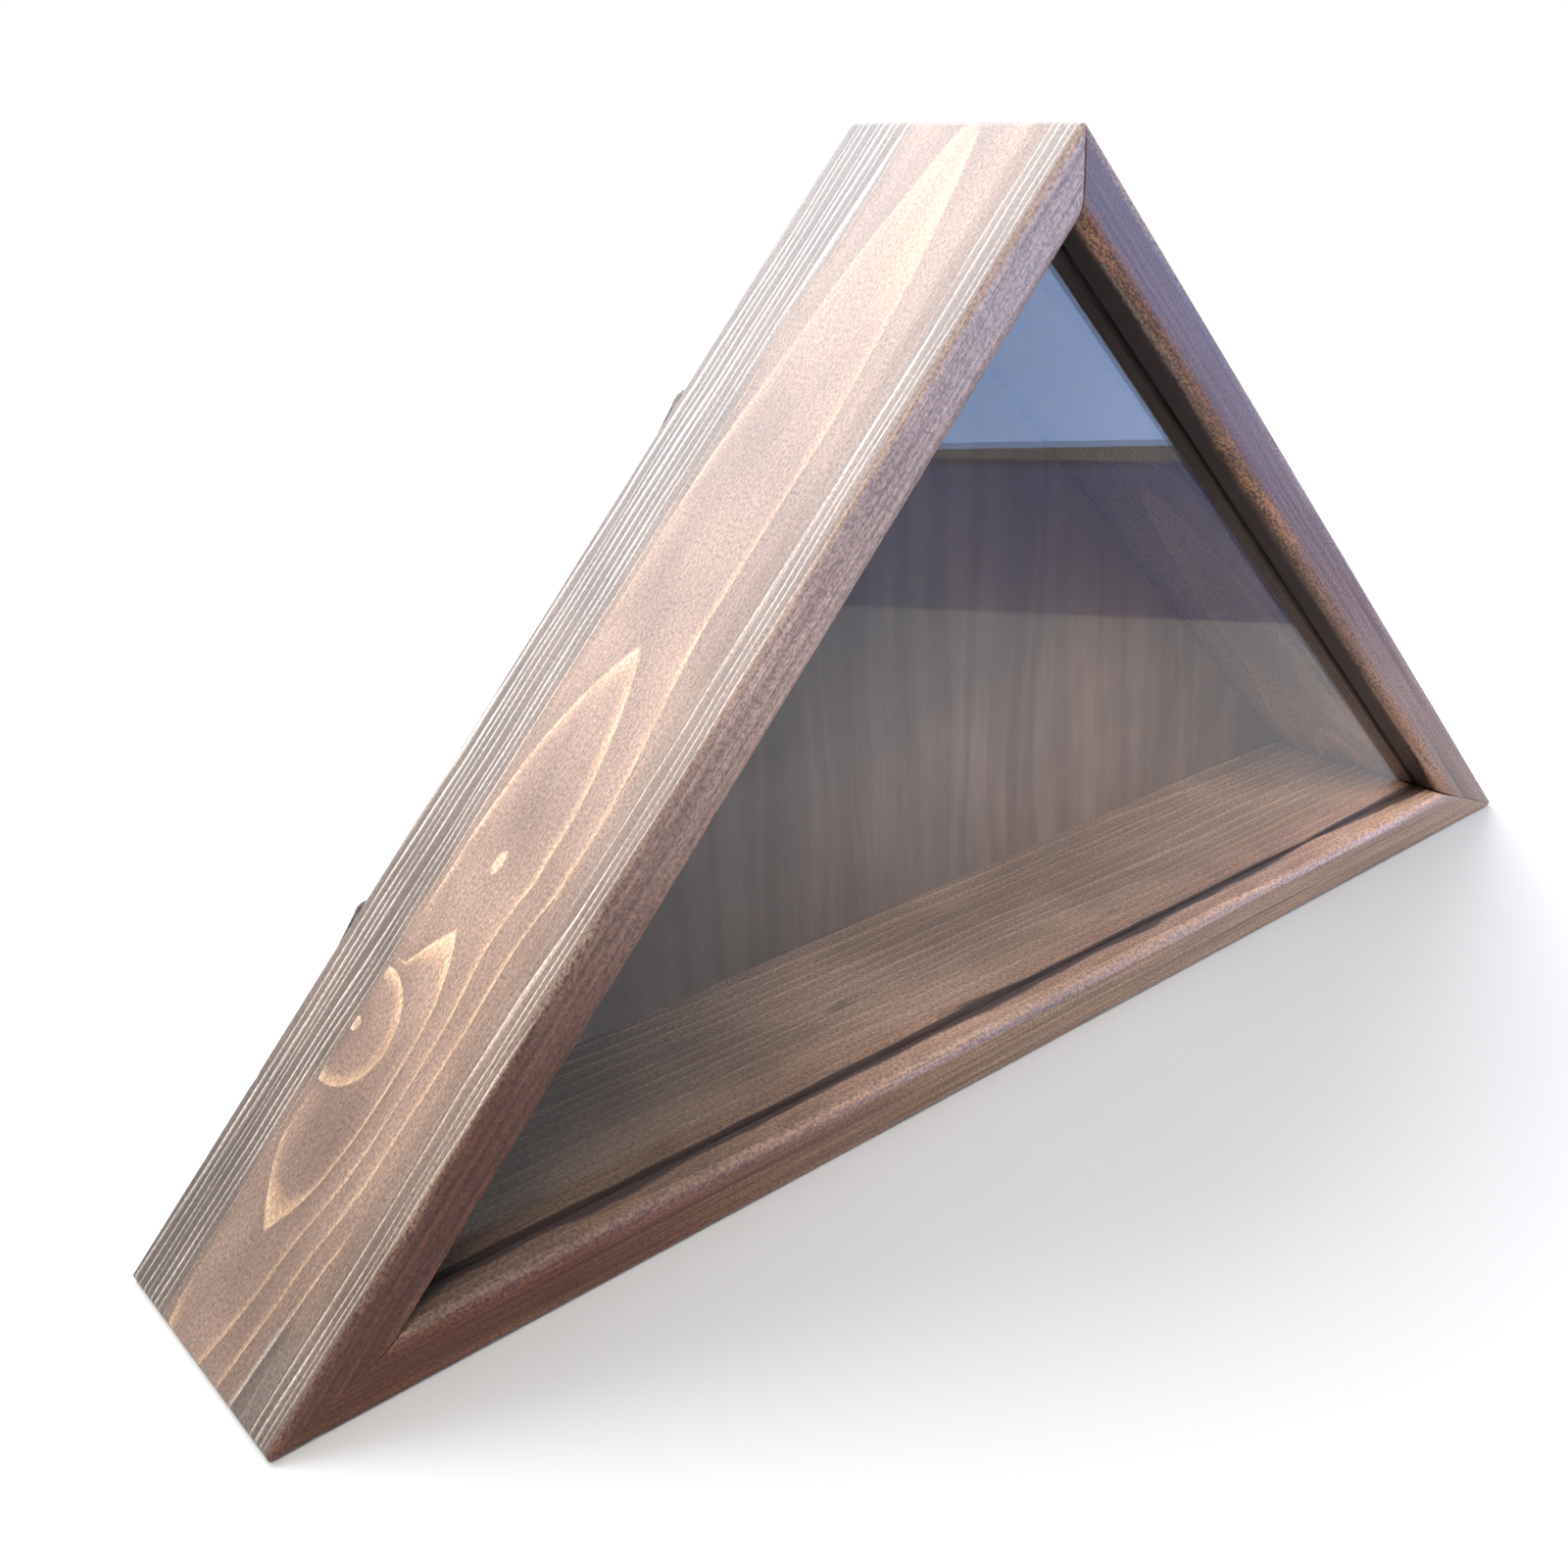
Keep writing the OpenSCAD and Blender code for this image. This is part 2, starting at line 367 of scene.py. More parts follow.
def dark_stain(plank, wavy_across):
    """1 where the stain stays dark: along the back and front edges and on the lower end."""
    back = (wavy_across + plank.blotch.swing(16) - plank.along * 0.012).ramp(23, 33, 1, 0)
    ragged = plank.across + plank.blotch.swing(14)
    front = ragged.ramp(80, 98, 0, 0.75)
    lower_end = plank.along.ramp(24, 40, 0.9, 0) * ragged.ramp(74, 80)
    return back.at_least(front).at_least(lower_end) * (plank.plain * -0.6 + 1)


def late_wood(plank, phase, wide, dark_zone):
    """How much of the hard, light wood that ends each ring shows, from 0 to 1."""
    width = dark_zone * 0.16 + wide * 0.26 + 0.22
    rise = ((phase - 1) / width + 1).at_least(0) * phase.ramp(0.965, 1.0, 1, 0)
    rise = rise * plank.fading.ramp(0.3, 0.62, 0.55, 1.0) * (plank.plain * -0.35 + 1)
    rise = rise * (plank.inner_side * plank.figured * -0.7 + 1)
    return rise * (dark_zone.ramp(0, 1, 0.45, 0) * plank.along.ramp(210, 330)).opposite()


def face_shade(plank, phase):
    """Light and dark on the broad faces: rings, fibre and specks, darker outside towards the left
    board's lower end, painted shade on the inner faces where the fade value is low, and painted
    light on the base's right end and on the side boards' inner faces where it is high.
    """
    shade = phase.ramp(0.0, 0.85, 0.86, 1.08, smooth=False)
    shade = shade * plank.fibre.ramp(0.25, 0.75, 0.78, 1.18) * plank.speckle
    outside = plank.along.ramp(-20, 220, 0.55, 1.0)
    # Outside darker towards the lower end; painted shade on the inner faces where the fade value
    # is low.
    shade = shade * outside.mixed(plank.fade_and_shade.ramp(0.0, 0.7, 0.38, 1.0), plank.inner_side)
    # Painted light: the base brighter towards its right end.
    shade = shade * (plank.plain * plank.along.ramp(1000, 1140, 0.0, 0.9) + 1)
    # Painted light on the side boards' inner faces where the fade value is high.
    side_inside = plank.inner_side * plank.figured
    return shade * (side_inside * plank.fade_and_shade.ramp(0.45, 0.85, 0.0, 0.8) + 1)


def face_colour(plank, phase, wide, dark_zone, rise):
    """The broad faces: tan or dark stain, with a glow and then bare light wood in each ring."""
    s = plank.surface
    mottle = plank.blotch.ramp(0.3, 0.7)
    tan = s.blend(mottle, (0.24, 0.142, 0.1), (0.37, 0.235, 0.17))
    dark = s.blend(mottle, (0.1, 0.066, 0.05), (0.2, 0.138, 0.108))
    body = s.blend(dark_zone, tan, dark)
    glow = s.blend(dark_zone, (0.56, 0.32, 0.165), (0.3, 0.22, 0.18))
    light = s.blend(dark_zone, (0.72, 0.52, 0.35), (0.86, 0.76, 0.68))
    colour = s.blend(rise.power(0.8) * (wide * 0.3 + 0.6), body, glow)
    crisp = rise.power(2.4).mixed(rise.power(1.2), dark_zone)
    colour = s.blend(crisp * 0.9, colour, light)
    return s.shaded(colour, face_shade(plank, phase))


def narrow_colour(plank):
    """The narrow front and back faces: streaky stain, deep or faded along the board."""
    s = plank.surface
    streak_place = s.vector(plank.along / 120, plank.depth / 1.5, plank.across / 30)
    streak = s.noise(streak_place, 1.0, 4.0, 0.62).ramp(0.3, 0.7)
    deep = s.blend(streak, (0.045, 0.012, 0.006), (0.105, 0.036, 0.02))
    faded = s.blend(streak, (0.155, 0.095, 0.07), (0.31, 0.205, 0.16))
    colour = s.blend(plank.fade_and_shade + plank.cloud.swing(0.3), deep, faded)
    # Painted glare: a brighter band partway up the side boards' narrow faces.
    rubbing_and_glare = plank.along.ramp(190, 270) * plank.along.ramp(330, 420, 1, 0) * plank.figured
    shade = plank.fibre.ramp(0.25, 0.75, 0.8, 1.16) * plank.speckle * (rubbing_and_glare * 0.22 + 1)
    colour = s.shaded(colour, shade)
    return s.blend(plank.plain, colour, s.tinted(colour, (1.13, 1.11, 0.93)))


def wear_glare_and_groove_shade(plank, colour, worn):
    """Painted cool glare up the side boards, bare wood on worn edges, and painted shade darkening
    the wood in front of the glass."""
    s = plank.surface
    # Painted highlight: a cool tint up the side boards stands in for window glare.
    painted_cool_glare = s.tinted(colour, (1.04, 1.13, 1.26))
    colour = s.blend(plank.along.ramp(100, 400) * plank.figured, colour, painted_cool_glare)
    # Bare wood on worn edges; on the right board's inner front edge it also stands in for a
    # painted highlight.
    bare = s.blend(plank.depth.ramp(6, 12), (0.4, 0.29, 0.23), (0.46, 0.2, 0.1))
    colour = s.blend(worn * 0.6, colour, bare)
    uneven = (plank.blotch.swing(0.8) + plank.fading.swing(0.6)) * (plank.plain * 1.4 + 1)
    # Painted shade: the wood in front of the glass is darkened, made uneven with noise.
    painted_groove_shade = (plank.groove_shade + uneven - plank.plain * 0.12).ramp(0.3, 0.6)
    return s.blend(painted_groove_shade * 0.85, colour, (0.02, 0.012, 0.014))


def pine_roughness(plank, worn):
    """Duller where the wood is worn, with glossy drips of stain by the worn inner edges."""
    drips = plank.fading.ramp(0.5, 0.6) * plank.depth.ramp(12, 16) * plank.wear.at_most(1.0)
    roughness = plank.fibre.ramp(0.2, 0.8, 0.33, 0.5) + plank.blotch.ramp(0.3, 0.7, -0.05, 0.06)
    return roughness + worn * 0.15 - drips * 0.24


def stained_pine():
    """Flat-sawn pine under dark stain: the hard late wood stays light, the rest takes stain."""
    s = Surface("stained_pine")
    plank = Plank(s)
    wavy_across = plank.across + plank.texture(90, 30).swing(4) + plank.texture(26, 6).swing(0.8)
    rings, wide = wood_figure(s, plank.along, wavy_across, plank.below)
    phase = rings.fraction()
    dark_zone = dark_stain(plank, wavy_across)
    rise = late_wood(plank, phase, wide, dark_zone)
    worn = plank.wear * plank.grit.ramp(0.38, 0.7) * plank.cloud.ramp(0.45, 0.6, 0.25, 0.9)
    worn = worn.at_most(1.0)
    colour = face_colour(plank, phase, wide, dark_zone, rise)
    colour = s.blend(plank.narrow, colour, narrow_colour(plank))
    s.put(wear_glare_and_groove_shade(plank, colour, worn), "Base Color")
    s.put(pine_roughness(plank, worn), "Roughness")
    s.set(Coat_Weight=0.1, Coat_Roughness=0.3, Specular_IOR_Level=0.36)
    fine = s.bump(plank.fibre + plank.flecks * 0.5 + plank.grit * 0.4, 0.14 * MM, 0.8)
    relief = rise * plank.narrow.opposite()
    s.put(s.bump(relief, 0.16 * MM, 0.8, below=fine), "Normal")
    return s.material


# ---------------------------------------------------------------- other materials

# One ply of the back panel, in millimetres
PLY_T = 1.2
# The index is lower than real glass has, because the studio floor is brighter than the room was
GLASS_INDEX = 1.34
GLASS_COLOUR = (0.965, 0.97, 0.955, 1.0)
GLASS_SHADOW = (0.9, 0.93, 0.92, 1.0)


def veneer_shade(s, x, y, z, fibre, inner_face):
    """Painted light and shade on the back panel: a painted shadow of the left board darkens it to
    the left and it is brighter to the right, painted shade darkens the inner face higher up, with
    fibre and blotches of the veneer.
    """
    blotch = s.noise(s.vector(x / 60, y / 30, z / 80), 1.0, 4.0, 0.6)
    shade = fibre.ramp(0.25, 0.75, 0.86, 1.12) * blotch.ramp(0.3, 0.7, 0.8, 1.16)
    # Painted shadow of the left board: darker towards the left, brighter to the right.
    shade = shade * x.ramp(-160, 180, 0.52, 1.14)
    # Painted shade: the inner face darker higher up.
    return shade * (inner_face * z.ramp(70, 165, 0.0, -0.52) + 1)


def stained_plywood():
    """Thin stained sheet: soft upright veneer grain on its faces, bands of plies on its edges."""
    s = Surface("stained_plywood")
    x, y, z = (part * PER_MM for part in s.split(s.place()))
    facing_y = s.split(s.new("ShaderNodeNewGeometry").outputs["Normal"])[1]
    across = x + s.noise(s.vector(x / 60, 0.0, z / 240)).swing(38)
    rings = s.noise(s.vector(across / 11, y / 9, z / 300), 1.0, 3.0, 0.5)
    fibre = s.noise(s.vector(x / 1.4, y / 0.8, z / 30), 1.0, 3.0, 0.6)
    colour = s.blend(rings.ramp(0.3, 0.7), (0.115, 0.073, 0.053), (0.16, 0.107, 0.08))
    inner_face = facing_y.ramp(-0.6, 0.0, 1, 0)
    colour = s.shaded(colour, veneer_shade(s, x, y, z, fibre, inner_face))
    # Tinted warmer towards the right, along with the painted light there.
    colour = s.blend(x.ramp(0, 180), colour, s.tinted(colour, (1.2, 1.03, 0.86)))
    ply = ((y - panel_lo.y * PER_MM) / PLY_T * 0.5).fraction().ramp(0.47, 0.53)
    ply_tone = s.blend(ply, (0.07, 0.042, 0.03), (0.16, 0.1, 0.068))
    edge = facing_y.size().ramp(0.5, 0.7, 1, 0)
    s.put(s.blend(edge * 0.9, colour, ply_tone), "Base Color")
    s.put(fibre.ramp(0.2, 0.8, 0.5, 0.72), "Roughness")
    s.set(Specular_IOR_Level=0.3)
    s.put(s.bump(fibre + rings * 0.4, 0.04 * MM, 0.4), "Normal")
    return s.material


def clear_glass():
    """Float glass with faint wiping smears. Lamps shine straight through the thin pane."""
    s = Surface("clear_glass")
    place = s.place()
    x, y, z = s.split(place)
    smear = s.noise(s.vector(x * 14 + z * 9, y, z * 30 - x * 12), 1.0, 4.0, 0.6, 0.8)
    dust = s.noise(place, 420.0, 2.0, 0.6)
    s.set(Base_Color=GLASS_COLOUR, Transmission_Weight=1.0, IOR=GLASS_INDEX)
    s.put(smear.ramp(0.6, 0.8, 0.0, 0.008) + dust.ramp(0.72, 0.8, 0.0, 0.05), "Roughness")
    through = s.new("ShaderNodeBsdfTransparent")
    through.inputs["Color"].default_value = GLASS_SHADOW
    shadow_ray = s.new("ShaderNodeLightPath").outputs["Is Shadow Ray"]
    s.show_instead(s.mixed_shaders(shadow_ray, s.shader.outputs[0], through.outputs[0]))
    return s.material


def metal(name, dark, light, rough):
    """Small metal parts: mottled colour, brighter worn edges and fine scratches."""
    s = Surface(name)
    place = s.place()
    mottle = s.noise(place, 260.0, 4.0, 0.6)
    x, y, z = s.split(place)
    scratches = s.noise(s.vector(x * 300, y * 300, z * 2600), 1.0, 3.0)
    edges = Value(s.tree, s.new("ShaderNodeNewGeometry").outputs["Pointiness"])
    # Worn metal edges showing brighter.
    rubbing_and_glare = edges.ramp(0.52, 0.62) * mottle.ramp(0.35, 0.6)
    bright = tuple(min(1.0, part * 2.6 + 0.08) for part in light)
    colour = s.blend(mottle.ramp(0.3, 0.7), dark, light)
    s.put(s.blend(rubbing_and_glare * 0.75, colour, bright), "Base Color")
    s.put(mottle.ramp(0.25, 0.75, rough - 0.09, rough + 0.12), "Roughness")
    s.set(Metallic=1.0)
    s.put(s.bump(scratches * 0.5 + mottle, 0.05 * MM, 0.5), "Normal")
    return s.material


def pale_floor():
    """The studio floor: even light grey paper with a faint tooth."""
    s = Surface("pale_floor")
    place = s.place()
    cloud = s.noise(place, 1.3, 3.0).ramp(0.3, 0.7)
    s.put(s.blend(cloud, (0.5, 0.497, 0.49), (0.53, 0.527, 0.52)), "Base Color")
    s.set(Roughness=0.75)
    s.put(s.bump(s.noise(place, 900.0), 0.1 * MM, 0.3), "Normal")
    return s.material


def backdrop_paper():
    """White paper that fades in over the floor away from the case, lit evenly by itself."""
    s = Surface("backdrop_paper")
    place = s.place()
    x, y = s.split(place)[:2]
    distance = (x * x + y * y).power(0.5)
    cover = (distance + s.noise(place, 3.0).swing(0.1)).ramp(1.0, 2.2)
    clear = s.new("ShaderNodeBsdfTransparent").outputs[0]
    glow = s.new("ShaderNodeEmission").outputs[0]
    s.show_instead(s.mixed_shaders(cover, clear, glow))
    return s.material


def blue_felt():
    """Deep blue felt, which darkens the glass where it is reflected."""
    s = Surface("blue_felt")
    fluff = s.noise(s.place(), 40.0, 3.0).ramp(0.3, 0.7)
    s.put(s.blend(fluff, (0.01, 0.025, 0.2), (0.014, 0.035, 0.29)), "Base Color")
    s.set(Roughness=0.9)
    return s.material


# ---------------------------------------------------------------- meshes

def clamp(value):
    """The value kept between 0 and 1."""
    return min(1.0, max(0.0, value))


def straight_run(start, end, step):
    """Points from start up to but not at end, no further apart than about a step."""
    start, end = Vector(start), Vector(end)
    count = max(1, round((end - start).length / step))
    return [start.lerp(end, i / count) for i in range(count)]


def round_run(centre, radius, from_angle, to_angle, count):
    """Points on an arc from one angle up to but not at the other, in degrees."""
    points = []
    for i in range(count):
        angle = math.radians(from_angle + (to_angle - from_angle) * i / count)
        points.append(Vector(centre) + radius * Vector((math.cos(angle), math.sin(angle))))
    return points


def quads_between(rows, across, ring=True, loop=False):
    """Faces between neighbouring rows of points. A ring joins the ends of each row, and a loop
    joins the last row to the first."""
    faces = []
    for r in range(rows if loop else rows - 1):
        for i in range(across if ring else across - 1):
            j, other = (i + 1) % across, (r + 1) % rows
            faces.append((r * across + i, r * across + j, other * across + j, other * across + i))
    return faces


def add_object(name, data):
    """A new object in the scene with the given mesh, lamp or camera."""
    piece = bpy.data.objects.new(name, data)
    bpy.context.scene.collection.objects.link(piece)
    return piece


def finish_piece(name, mesh, smooth_angle):
    """Triangulated caps, outward faces and shading that is smooth up to an angle."""
    bm = bmesh.new()
    bm.from_mesh(mesh)
    bmesh.ops.triangulate(bm, faces=[f for f in bm.faces if len(f.verts) > 4])
    bmesh.ops.recalc_face_normals(bm, faces=bm.faces)
    for edge in bm.edges:
        edge.smooth = edge.calc_face_angle(0) < math.radians(smooth_angle)
    for face in bm.faces:
        face.smooth = True
    bm.to_mesh(mesh)
    bm.free()
    return add_object(name, mesh)


def dress(piece, body, node, material):
    """The piece rides on a body, stands for a node and takes a material."""
    piece.data.materials.clear()
    piece.data.materials.append(material)
    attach(piece, body)
    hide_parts(node)


# ---------------------------------------------------------------- boards

SECTION_STEP = 3 * MM
FRONT_STEP = 2 * MM
RING_STEP = 3.5 * MM
# Cross-sections stand close together at both mitres
END_STEPS = [d * MM for d in (0, 0.35, 0.8, 1.3, 1.9, 2.6, 3.6, 5, 7, 10)]
# How far the first and last cross-sections are drawn in, so that the seams between boards show
SEAM_EASE = (0.28 * MM, 0.07 * MM)

# How far wear reaches from the outer edges and from the inner front edge
OUTER_WEAR = 1.7 * MM
INNER_WEAR = 3.6 * MM
NARROW_FACE_REACH = 1.6 * MM

# What sanding and use took off: everywhere, in slight waves, along the edges and in dents
SANDED = 0.08 * MM
WAVES = 0.06 * MM
RUBBED = 0.12 * MM
DENTS = 0.7 * MM
DENTS_ABOVE = 0.35
# The outer face is worked everywhere, this far in
OUTER_SKIN = 2 * MM

# Where a board starts along the plank, and how much of the plank goes on its length or width:
# less than 1 spreads the figure out
RIGHT_START, RIGHT_LENGTH_SHARE, RIGHT_DEEPER = 155 * MM, 0.85, 4 * MM
BASE_START, BASE_WIDTH_SHARE = 600 * MM, 0.6


def board_section():
    """The board's closed outline: first number the depth Y, second the distance inwards."""
    outer, inner, step = OUTER_EDGE_R, INNER_EDGE_R, SECTION_STEP
    corners = ((BACK_Y, outer), (BACK_Y, LEDGE), (RABBET_FRONT, LEDGE), (RABBET_FRONT, BOARD_T),
               (GROOVE_BACK, BOARD_T), (GROOVE_BACK, GROOVE_FLOOR),
               (GROOVE_FRONT, GROOVE_FLOOR), (GROOVE_FRONT, BOARD_T), (FRONT_Y + inner, BOARD_T))
    points = straight_run((FRONT_Y + outer, 0), (BACK_Y - outer, 0), step)
    points += round_run((BACK_Y - outer, outer), outer, -90, 0, 5)
    for start, end in zip(corners, corners[1:]):
        points += straight_run(start, end, step)
    points += round_run((FRONT_Y + inner, BOARD_T - inner), inner, 90, 180, 8)
    points += straight_run((FRONT_Y, BOARD_T - inner), (FRONT_Y, outer), FRONT_STEP)
    points += round_run((FRONT_Y + outer, outer), outer, 180, 270, 5)
    return points


def outward(points, i):
    """The outline's unit normal at point i, out of the wood."""
    along = (points[(i + 1) % len(points)] - points[i - 1]).normalized()
    return Vector((along.y, -along.x))


def edge_wear(y, inset):
    """1 on the board's outer long edges and its inner front edge, 0 on its faces."""
    edges = (((FRONT_Y, 0), OUTER_WEAR), ((BACK_Y, 0), OUTER_WEAR),
             ((FRONT_Y, BOARD_T), INNER_WEAR))
    distances = [(Vector((y, inset)) - Vector(edge)).length / reach for edge, reach in edges]
    return clamp(1.6 - min(distances))


def narrow_face(y):
    """1 on the board's narrow front and back faces, 0 on the rest."""
    return clamp(1.3 - min(y - FRONT_Y, BACK_Y - y) / NARROW_FACE_REACH)


def stain_fade_and_shade(x, dark_at, pale_at, least):
    """How faded the stain is, which also sets painted shade and light on the inner faces: least
    at one place along the board, 1 at another.
    """
    share = clamp((x - dark_at) / (pale_at - dark_at))
    return least + (1 - least) * share * share * (3 - 2 * share)


def painted_shade_before_glass(y, inset, reach):
    """How much shade is painted on the wood in front of the glass: 1 beside it, 0 past the reach.
    """
    if inset < BOARD_T - INNER_EDGE_R or y > GROOVE_BACK + MM:
        return 0.0
    return clamp(1.5 * (1 - (GROOVE_FRONT - y) / reach))


def hand_work(x, y, inset, worn, seed):
    """How far the surface lies inside the true one. The glass groove keeps its true shape."""
    if GROOVE_FRONT - MM < y < GROOVE_BACK + MM and inset > OUTER_SKIN:
        return 0.0
    spot = Vector((x, y, inset)) * PER_MM
    wave = noise.noise(Vector((x * 9 + seed, y * 12, inset * 12)))
    rub = 0.5 + 0.5 * noise.noise(Vector((x * 14, seed * 3.1, y * 6)))
    dent = max(0.0, noise.noise(spot * 0.16 + Vector((seed, 0, 0))) - DENTS_ABOVE)
    return SANDED + WAVES * wave + worn * (RUBBED * rub + DENTS * dent)


def ring_places(start, end, count):
    """Distances along the board for its cross-sections."""
    first, last = start + END_STEPS[-1], end - END_STEPS[-1]
    middle = [first + (last - first) * i / count for i in range(1, count)]
    return [start + d for d in END_STEPS] + middle + [end - d for d in reversed(END_STEPS)]


def tip_lift(distance, half_angle):
    """How far the rounded corner of the case stands inside the outer face near a mitre."""
    reach = CORNER_R / math.tan(half_angle)
    if distance >= reach:
        return 0.0
    return CORNER_R - math.sqrt(max(0.0, CORNER_R ** 2 - (reach - distance) ** 2))


def board_points(section, length, half_start, half_end):
    """Every cross-section of a mitred board as (along, depth, inset) before any hand work."""
    floor_start = CORNER_R * (1 - math.sin(half_start))
    floor_end = CORNER_R * (1 - math.sin(half_end))
    count = round(length / RING_STEP)
    columns = []
    for y, inset in section:
        start = max(inset, floor_start) / math.tan(half_start)
        end = length - max(inset, floor_end) / math.tan(half_end)
        columns.append(ring_places(start, end, count))
    rings = []
    for places in zip(*columns):
        points = []
        for x, (y, inset) in zip(places, section):
            lift = max(tip_lift(x, half_start), tip_lift(length - x, half_end))
            points.append(Vector((x, y, max(inset, lift))))
        rings.append(points)
    return rings


def board_mesh(name, verts, rings, around):
    """The swept outline, with one face on each end."""
    faces = quads_between(rings, around)
    faces.append(tuple(range(around - 1, -1, -1)))
    faces.append(tuple(range((rings - 1) * around, rings * around)))
    mesh = bpy.data.meshes.new(name)
    mesh.from_pydata(verts, [], faces)
    return mesh


def make_board(name, corner, direction, length, angles, grain_place, stain, edges, seed):
    """A mitred board whose outer edge runs from corner at an angle in the XZ plane.
    grain_place turns distances along, from the back and below the face into the figure.
    stain says where the stain fades and where shade is painted inside the case, edges how bare
    they are, partly a painted highlight on the right board, and how far the painted shade before
    the glass reaches."""
    section = board_section()
    normals = [outward(section, i) for i in range(len(section))]
    rings = board_points(section, length, angles[0] / 2, angles[1] / 2)
    turn = Matrix.Rotation(-direction, 3, "Y")
    origin = Vector((corner[0], 0, corner[1]))
    verts, grain, zones, fade_and_shade, groove_shade = [], [], [], [], []
    bareness_and_highlight, groove_shade_reach = edges
    for number, points in enumerate(rings):
        from_end = min(number, len(rings) - 1 - number)
        ease = SEAM_EASE[from_end] if from_end < len(SEAM_EASE) else 0.0
        for point, normal, (y, inset) in zip(points, normals, section):
            worn = edge_wear(y, inset)
            inwards = ease + hand_work(point.x, y, inset, worn, seed)
            moved = point - Vector((0, normal.x, normal.y)) * inwards
            verts.append(origin + turn @ moved)
            grain.extend(grain_place(point.x, BACK_Y - y, point.z))
            zones.extend((worn * bareness_and_highlight, narrow_face(y), inset))
            # Stain fade, which also sets the painted shade and light on the inner faces
            fade_and_shade.append(stain_fade_and_shade(point.x, *stain))
            # How much shade is painted in front of the glass
            groove_shade.append(painted_shade_before_glass(y, inset, groove_shade_reach))
    mesh = board_mesh(name, verts, len(rings), len(section))
    mesh.attributes.new("grain", "FLOAT_VECTOR", "POINT").data.foreach_set("vector", grain)
    mesh.attributes.new("zones", "FLOAT_VECTOR", "POINT").data.foreach_set("vector", zones)
    mesh.attributes.new("fade_and_shade", "FLOAT", "POINT").data.foreach_set("value", fade_and_shade)
    mesh.attributes.new("groove_shade", "FLOAT", "POINT").data.foreach_set("value", groove_shade)
    return finish_piece(name, mesh, smooth_angle=34)


def left_grain(x, from_back, below):
    """The left board shows the figure from its lower end up."""
    return (LEG - x, from_back, below)


def right_grain(x, from_back, below):
    """The right board starts past the eye, and has the plank's back edge in front."""
    return (RIGHT_LENGTH_SHARE * x + RIGHT_START, DEPTH - from_back, below + RIGHT_DEEPER)


def base_grain(x, from_back, below):
    """The base comes from the plain rest of the plank, with its good face inside the case."""
    return (x + BASE_START, BASE_WIDTH_SHARE * from_back, BOARD_T - below)


def make_boards(material):
    """The base and both side boards, each with its own part of the plank."""
    # Each board's last numbers: where its stain fades and shade is painted inside, how bare its
    # edges are, and how far the painted shade before the glass reaches.
    boards = (
        ("base_board", (-HALF_BASE, 0), 0.0, 2 * HALF_BASE, (BASE_ANGLE, BASE_ANGLE),
         base_grain, (0.08, 0.38, 0.0), (1.0, 4 * MM), 3.7),
        ("right_side_board", (HALF_BASE, 0), math.pi - BASE_ANGLE, LEG, (BASE_ANGLE, TOP_ANGLE),
         # The right board's barer edges are partly real wear and partly a painted highlight along
         # its inner front edge.
         right_grain, (0.44, -0.16, 0.0), (3.6, 13 * MM), 11.3),
        ("left_side_board", (0, CASE_H), math.pi + BASE_ANGLE, LEG, (TOP_ANGLE, BASE_ANGLE),
         left_grain, (0.35, 0.18, 0.0), (1.0, 13 * MM), 23.9),
    )
    for node, *shape in boards:
        piece = make_board(node + "_wood", *shape)
        dress(piece, "frame", node, material)


# ---------------------------------------------------------------- pieces kept from the CAD

# Corners of the CAD mesh this close are one point, and edges this sharp are softened
SAME_POINT = 0.002 * MM
SHARP_EDGE = math.radians(40)


def dress_node(node, material, bevel):
    """A CAD node keeps its shape and gets a material and softened edges."""
    piece = frame["nodes"][node]
    piece.data.materials.clear()
    piece.data.materials.append(material)
    for face in piece.data.polygons:
        face.material_index = 0
    joined = piece.modifiers.new("joined_corners", "WELD")
    joined.merge_threshold = SAME_POINT
    soft = piece.modifiers.new("soft_edges", "BEVEL")
    soft.width = bevel
    soft.segments = 2
    soft.limit_method = "ANGLE"
    soft.angle_limit = SHARP_EDGE
    piece.modifiers.new("even_shading", "WEIGHTED_NORMAL")


# ---------------------------------------------------------------- turn buttons

BUTTON_REACH = 19 * MM
BUTTON_HEAD_R = 5 * MM
BUTTON_TIP_R = 3.4 * MM
BUTTON_HOLE_R = 2.1 * MM
BUTTON_RIM = 0.5 * MM
# The arm thins by this share of its thickness, from this share of its reach on
THINNING, THINNING_FROM = 0.5, 0.25


def button_outline(count):
    """Round the pivot end, along a flank, round the free end and back, with X along the arm."""
    taper = math.asin((BUTTON_HEAD_R - BUTTON_TIP_R) / BUTTON_REACH)
    head = round_run((0, 0), BUTTON_HEAD_R, math.degrees(math.pi / 2 - taper),
                     math.degrees(3 * math.pi / 2 + taper), count)
    tip = round_run((BUTTON_REACH, 0), BUTTON_TIP_R, math.degrees(taper - math.pi / 2),
                    math.degrees(math.pi / 2 - taper), count)
    end = math.pi / 2 - taper
    last = Vector((math.cos(end), math.sin(end))) * BUTTON_TIP_R + Vector((BUTTON_REACH, 0))
    start = -math.pi / 2 - taper
    flank = Vector((math.cos(start), math.sin(start))) * BUTTON_HEAD_R
    return head + [flank] + tip + [last]


def drawn_in(point, distance):
    """A point of the outline moved towards the button's middle line."""
    middle = Vector((min(max(point.x, 0.0), BUTTON_REACH), 0))
    return point + (middle - point).normalized() * distance


